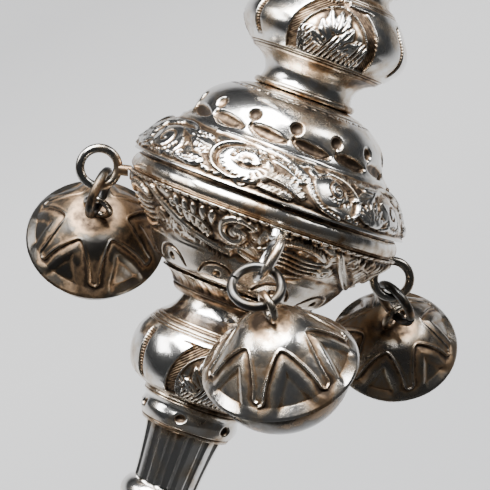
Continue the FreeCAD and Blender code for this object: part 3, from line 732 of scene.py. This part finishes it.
def bell(name, outline, phase, finish):
    """One bell's dome with its stamped petals, in place of the CAD one."""
    rim, axis, radius, height = bell_frame(name)
    columns, rows, inner_step, thinnest = 550, 170, 18, 0.02
    profile, run = spline(np.array(outline) * [radius, height], rows)
    face = CAMERA_BACK - axis * (CAMERA_BACK @ axis)
    face /= np.linalg.norm(face)
    side = np.cross(axis, face)
    turn = np.arange(columns) * 360.0 / columns
    relief, tarnish = petals(turn, run, np.maximum(profile[:, 0], 0.6), phase)
    normal = outward(profile)
    out = np.maximum(profile[:, :1] + (relief - SKIN) * normal[:, :1], thinnest)
    up = np.maximum(profile[:, 1:] + (relief - SKIN) * normal[:, 1:], 0.0)
    inner = np.maximum((profile - normal * BELL_INNER)[::-inner_step], thinnest)
    inner_out = np.repeat(inner[:, :1], columns, 1)
    inner_up = np.repeat(inner[:, 1:], columns, 1)
    recess = np.vstack([np.clip(recess_of(relief) + tarnish, 0, 1), np.ones(inner_out.shape)]).reshape(-1)
    out, up = np.vstack([out, inner_out]), np.vstack([up, inner_up])
    way = np.radians(turn)[None, :]
    flat = (out * np.cos(way))[..., None] * face + (out * np.sin(way))[..., None] * side
    points = rim + (flat + up[..., None] * axis).reshape(-1, 3) * MM
    faces = wrapped(len(out), columns)
    piece = mesh_piece(name + "_bell_shell", points, faces, name + "_bell", finish, recess)
    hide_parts(name + "_bell_dome")


# Materials

def new_material(name):
    """A node material, with what is needed to build on it."""
    material = bpy.data.materials.new(name)
    material.use_nodes = True
    nodes, links = material.node_tree.nodes, material.node_tree.links
    return material, nodes, links, nodes["Principled BSDF"]


def noise(nodes, links, scale, detail=4.0, rough=0.55, stretch=None):
    """A noise texture in object space, with a feature size of about one over the scale in metres."""
    place = nodes.new("ShaderNodeTexCoord")
    texture = nodes.new("ShaderNodeTexNoise")
    texture.inputs["Scale"].default_value = scale
    texture.inputs["Detail"].default_value = detail
    texture.inputs["Roughness"].default_value = rough
    source = place.outputs["Object"]
    if stretch:
        mapping = nodes.new("ShaderNodeMapping")
        mapping.inputs["Scale"].default_value = stretch
        links.new(source, mapping.inputs["Vector"])
        source = mapping.outputs["Vector"]
    links.new(source, texture.inputs["Vector"])
    return texture.outputs["Fac"]


def ramp(nodes, links, value, stops):
    """A colour ramp: stops are (place, colour)."""
    node = nodes.new("ShaderNodeValToRGB")
    links.new(value, node.inputs["Fac"])
    while len(node.color_ramp.elements) < len(stops):
        node.color_ramp.elements.new(0.5)
    for element, (place, colour) in zip(node.color_ramp.elements, stops):
        element.position = place
        element.color = (*colour, 1.0)
    return node.outputs["Color"]


def math_node(nodes, links, kind, *values, clamp=False):
    """A math node; each of its two or three values is an output or a number."""
    node = nodes.new("ShaderNodeMath")
    node.operation = kind
    node.use_clamp = clamp
    for socket, value in zip(node.inputs, values):
        if isinstance(value, (int, float)):
            socket.default_value = value
        else:
            links.new(value, socket)
    return node.outputs["Value"]


def dents(nodes, links, shader, height, strength, distance):
    """A fine unevenness of the surface, distance deep in metres."""
    bump = nodes.new("ShaderNodeBump")
    bump.inputs["Strength"].default_value = strength
    bump.inputs["Distance"].default_value = distance
    links.new(height, bump.inputs["Height"])
    links.new(bump.outputs["Normal"], shader.inputs["Normal"])


def seams(nodes, links):
    """Where brown deposit gathers by the joins between turned pieces, by height along the rattle's axis."""
    place = nodes.new("ShaderNodeTexCoord")
    along = nodes.new("ShaderNodeVectorMath")
    along.operation = "DOT_PRODUCT"
    along.inputs[1].default_value = AXIS / (SEAM_SPAN * BRIM_R * MM)
    links.new(place.outputs["Object"], along.inputs[0])
    shifted = math_node(nodes, links, "ADD", along.outputs["Value"], 0.5 - GIRDLE_AT / (SEAM_SPAN * BRIM_R))
    clean, dirty = (0.0, 0.0, 0.0), (1.0, 1.0, 1.0)
    stops = [(0.0, clean)]
    for share, reach in SEAMS:
        middle, width = 0.5 + share / SEAM_SPAN, reach / SEAM_SPAN
        stops += [(middle - width, clean), (middle, dirty), (middle + width, clean)]
    return ramp(nodes, links, shifted, stops)


def silver(name, bright, tarnish, recess_share, polish, seam, wear):
    """Silver that is bright on its high places, and brown to black in its recesses and in soft patches."""
    material, nodes, links, shader = new_material(name)
    depth = nodes.new("ShaderNodeAttribute")
    depth.attribute_name = "recess"
    patches = noise(nodes, links, 260.0, 6.0, 0.62)
    grime = math_node(nodes, links, "MULTIPLY_ADD", patches, 2.6, -1.30 + tarnish)
    grime = math_node(nodes, links, "MAXIMUM", grime, 0.0)
    crumbs = noise(nodes, links, 1100.0, 5.0, 0.65)
    crumbs_there = math_node(nodes, links, "MULTIPLY_ADD", crumbs, 2.0, -0.05)
    deep = math_node(nodes, links, "MULTIPLY", depth.outputs["Fac"], recess_share)
    deep = math_node(nodes, links, "MULTIPLY", deep, crumbs_there)
    if seam:
        blotch = math_node(nodes, links, "MULTIPLY", seams(nodes, links), crumbs)
        deep = math_node(nodes, links, "ADD", deep, math_node(nodes, links, "MULTIPLY", blotch, seam))
    mask = math_node(nodes, links, "ADD", deep, grime, clamp=True)
    warm = tuple(a * b for a, b in zip(bright, (0.82, 0.73, 0.62)))
    brown, umber, black = (0.30, 0.20, 0.12), (0.13, 0.090, 0.060), (0.05, 0.036, 0.026)
    stops = [(0.0, bright), (0.25, warm), (0.55, brown), (0.80, umber), (1.0, black)]
    links.new(ramp(nodes, links, mask, stops), shader.inputs["Base Color"])
    shader.inputs["Metallic"].default_value = 1.0
    fine = noise(nodes, links, 2600.0, 3.0, 0.6)
    rough = math_node(nodes, links, "MULTIPLY_ADD", fine, 0.10, polish)
    dull = math_node(nodes, links, "MULTIPLY", mask, 0.30)
    links.new(math_node(nodes, links, "ADD", rough, dull, clamp=True), shader.inputs["Roughness"])
    dents(nodes, links, shader, noise(nodes, links, 620.0, 5.0, 0.6), wear, 0.00007)
    return material


def pearl():
    """Mother-of-pearl: pale layers that ripple along the handle, with a pink and green play over them."""
    material, nodes, links, shader = new_material("pearl")
    layers = noise(nodes, links, 150.0, 7.0, 0.66, (1.0, 2.2, 1.0))
    layer_tones = [
        (0.30, (0.60, 0.55, 0.46)), (0.43, (0.78, 0.75, 0.68)),
        (0.52, (0.88, 0.87, 0.83)), (0.68, (0.70, 0.67, 0.60)),
    ]
    play = noise(nodes, links, 60.0, 3.0, 0.5)
    pink, cream, green, blue = (1.0, 0.86, 0.86), (1.0, 0.98, 0.93), (0.84, 0.97, 0.92), (0.88, 0.90, 1.0)
    play_tones = [(0.35, pink), (0.48, cream), (0.62, green), (0.75, blue)]
    tint = nodes.new("ShaderNodeMix")
    tint.data_type = "RGBA"
    tint.blend_type = "MULTIPLY"
    tint.inputs["Factor"].default_value = 1.0
    links.new(ramp(nodes, links, layers, layer_tones), tint.inputs["A"])
    links.new(ramp(nodes, links, play, play_tones), tint.inputs["B"])
    links.new(tint.outputs["Result"], shader.inputs["Base Color"])
    links.new(math_node(nodes, links, "MULTIPLY_ADD", layers, 0.30, 0.08), shader.inputs["Roughness"])
    shader.inputs["Coat Weight"].default_value = 0.7
    shader.inputs["Coat Roughness"].default_value = 0.06
    dents(nodes, links, shader, layers, 0.25, 0.00006)
    return material


SILVERS = {  # colour, tarnish, share of deposit in recesses, polish, deposit at seams, wear
    "silver_chased": ((0.79, 0.775, 0.75), 0.04, 0.90, 0.11, 0.8, 0.4),
    "silver_plain": ((0.80, 0.785, 0.76), 0.05, 0.8, 0.09, 0.9, 0.4),
    # Painted shade: the wire slot's silver and the link rings' copy are darkened copies of the plain silver,
    # standing in for shade in their reflections. The front body ring's copy keeps the plain colour.
    "silver_wire": ((0.40, 0.385, 0.36), 0.20, 0.8, 0.13, 0.0, 0.4),
    "silver_wire_painted_deep_shade": ((0.085, 0.083, 0.080), 0.10, 0.8, 0.24, 0.0, 0.4),
    "silver_bright_wire": ((0.80, 0.785, 0.76), 0.02, 0.8, 0.12, 0.0, 0.4),
    # Painted shade: the bells are one silver. The right bell's copy and the darker copy for the left and rear
    # bells stand in for the shade they lie in, and the front bell's copy keeps the bright colour.
    "silver_front_bell": ((0.84, 0.815, 0.78), 0.18, 0.9, 0.11, 0.0, 0.75),
    "silver_bell_painted_deep_shade": ((0.10, 0.094, 0.086), 0.24, 0.9, 0.26, 0.0, 0.75),
    "silver_bell_painted_shade": ((0.34, 0.315, 0.285), 0.10, 0.8, 0.18, 0.0, 0.75),
    # Painted shade: the cups' silver in this slot is darkened far below the plain silver's colour, for the shade
    # under the bells' rims.
    "silver_bells": ((0.14, 0.135, 0.13), 0.22, 0.9, 0.12, 0.0, 0.4),
    "silver_pin": ((0.70, 0.68, 0.64), 0.10, 0.8, 0.25, 0.0, 0.4),
}
FINISHES = {name: silver(name, *look) for name, look in SILVERS.items()}
FINISHES["pearl"] = pearl()

# Painted shade: the link rings' copy is darker than the wire slot's silver. The front body ring's copy keeps the
# plain silver's colour.
OWN_FINISH = {  # CAD nodes that are brighter or darker than the rest of their slot
    "front_body_ring": "silver_bright_wire", "front_link_ring": "silver_wire_painted_deep_shade",
    "left_link_ring": "silver_wire_painted_deep_shade", "right_link_ring": "silver_wire_painted_deep_shade",
    # Painted shade: the front bell's cup gets the dark cup silver, for the shade under its rim.
    "front_bell_cup": "silver_bells",
}


def paint_cad_nodes():
    """Every CAD node gets its own finish, or else that of its slot."""
    slots = {part["node"]: part["material_slot"] for part in frame["record"]["subparts"]}
    for node, piece in frame["nodes"].items():
        piece.data.materials.clear()
        piece.data.materials.append(FINISHES[OWN_FINISH.get(node, slots[node])])


# The object

def build():
    """The fine pieces, in the order of their random draws."""
    spun("upper_shell", "chased", UPPER_SHELL, 620, 150, 1.2, "silver_chased", brim_ornament, dome_ornament)
    spun("lower_shell", "chased", LOWER_SHELL, 620, 150, 1.2, "silver_chased", lower_ornament)
    spun("upper_knop", "chased", UPPER_KNOP, 600, 150, 1.0, "silver_chased", knop_ornament)
    spun("lower_knop", "chased", LOWER_KNOP, 600, 150, 1.0, "silver_chased", knop_ornament)
    spun("girdle_band", "turned", GIRDLE_BAND, 480, 40, 0.45, "silver_plain", girdle_ornament)
    spun("lower_neck", "turned", LOWER_NECK, 480, 60, 0.9, "silver_plain", neck_ornament)
    spun("lower_collar", "turned", LOWER_COLLAR, 480, 60, 0.9, "silver_plain", collar_ornament)
    spun("teether_handle", "carved", HANDLE, 240, 260, 2.6, "pearl", handle_ornament)
    spun("upper_flange", "punched", UPPER_FLANGE, 360, 60, 1.2, "silver_chased", flange_ornament)
    spun("lower_flange", "punched", LOWER_FLANGE, 360, 60, 1.2, "silver_chased", flange_ornament)
    # The bells' finishes are lit and shaded copies of one silver: painted shade darkens the right bell, and the
    # left and rear bells further.
    bell("front", CONE, -25.0, "silver_front_bell")
    bell("left", DOME, 9.5, "silver_bell_painted_deep_shade")
    bell("right", DOME, 11.5, "silver_bell_painted_shade")
    bell("rear", DOME, 20.0, "silver_bell_painted_deep_shade")


# Floor, light and camera

def add_floor():
    bpy.ops.mesh.primitive_plane_add(size=FLOOR_SIZE, location=(0, 0, cad_box[0][2] - FLOOR_DROP))
    floor = bpy.context.object
    floor.name = "floor"
    material, nodes, links, shader = new_material("floor")
    links.new(floor_painted_shade(nodes, links), shader.inputs["Base Color"])
    shader.inputs["Roughness"].default_value = 0.9
    floor.data.materials.append(material)


def light_scene():
    """A dim even sky that is brighter where it shows behind the rattle, three soft lamps and a black card."""
    world = bpy.data.worlds.new("studio")
    bpy.context.scene.world = world
    world.use_nodes = True
    nodes, links = world.node_tree.nodes, world.node_tree.links
    background = nodes["Background"]
    background.inputs["Color"].default_value = (0.80, 0.82, 0.85, 1.0)
    seen = nodes.new("ShaderNodeLightPath").outputs["Is Camera Ray"]
    links.new(math_node(nodes, links, "MULTIPLY_ADD", seen, SKY_SEEN, SKY), background.inputs["Strength"])
    lamp("key", (0.30, 0.34, 0.89), 0.45, 0.40, 0.34, 12.0)
    lamp("back_fill", (-0.08, 0.86, 0.50), 0.50, 0.30, 0.16, 1.8)
    lamp("top_right", (0.60, -0.50, 0.62), 0.50, 0.16, 0.24, 1.2)
    flag("front_flag", (-0.80, -0.35, -0.25), 0.20, 0.60, 0.26)


def add_camera():
    camera = bpy.data.cameras.new("camera")
    camera.lens = LENS
    camera.clip_start = 0.01
    at = GIRDLE + CAMERA_RIGHT * CAMERA_AT[0] + CAMERA_UP * CAMERA_AT[1] + CAMERA_BACK * CAMERA_AT[2]
    holder = bpy.data.objects.new("camera", camera)
    bpy.context.scene.collection.objects.link(holder)
    holder.location = Vector(at * MM)
    holder.rotation_euler = Vector(CAMERA_BACK).to_track_quat("Z", "Y").to_euler()
    bpy.context.scene.camera = holder


def floor_painted_shade(nodes, links):
    """A pale grey with painted shade: it falls off a little towards the top and the left of the picture, with a
    slight unevenness.
    """
    place = nodes.new("ShaderNodeTexCoord")
    along = nodes.new("ShaderNodeVectorMath")
    along.operation = "DOT_PRODUCT"
    up, right = CAMERA_UP * FLOOR_SHADE, CAMERA_RIGHT * FLOOR_SHADE_ACROSS
    along.inputs[1].default_value = (up[0] - right[0], up[1] - right[1], 0.0)
    links.new(place.outputs["Object"], along.inputs[0])
    uneven = math_node(nodes, links, "MULTIPLY_ADD", noise(nodes, links, 3.0, 2.0), 0.10, FLOOR_SHADE_FROM)
    value = math_node(nodes, links, "ADD", along.outputs["Value"], uneven)
    # Painted shade: the grey darkens from about 0.40 to 0.29 as the value rises towards the top and the left of
    # the picture.
    stops = [
        (0.0, (0.375, 0.378, 0.385)), (0.35, (0.400, 0.400, 0.402)),
        (0.60, (0.385, 0.385, 0.388)), (1.0, (0.29, 0.29, 0.295)),
    ]
    return ramp(nodes, links, value, stops)


def facing_girdle(way, away):
    """The place away metres from the girdle in a direction, and the rotation that looks back from it."""
    way = Vector(way).normalized()
    return Vector(GIRDLE * MM) + way * away, way.to_track_quat("Z", "Y").to_euler()


def flag(name, way, away, width, height):
    """A black card that only shows in reflections, as photographers use to darken polished metal."""
    place, turn = facing_girdle(way, away)
    bpy.ops.mesh.primitive_plane_add(size=1.0, location=place, rotation=turn)
    card = bpy.context.object
    card.name = name
    card.scale = (width, height, 1.0)
    material, nodes, links, shader = new_material(name)
    blacks = [(0.3, (0.012, 0.012, 0.012)), (0.7, (0.02, 0.02, 0.02))]
    links.new(ramp(nodes, links, noise(nodes, links, 5.0, 2.0), blacks), shader.inputs["Base Color"])
    shader.inputs["Roughness"].default_value = 0.95
    card.data.materials.append(material)
    card.visible_camera = False
    card.visible_diffuse = False
    card.visible_shadow = False
    card.visible_transmission = False


def lamp(name, way, away, width, height, power):
    """A soft rectangular light that looks at the girdle."""
    light = bpy.data.lights.new(name, "AREA")
    light.shape = "RECTANGLE"
    light.size, light.size_y, light.energy = width, height, power
    holder = bpy.data.objects.new(name, light)
    bpy.context.scene.collection.objects.link(holder)
    holder.location, holder.rotation_euler = facing_girdle(way, away)


paint_cad_nodes()
build()
add_floor()
light_scene()
add_camera()
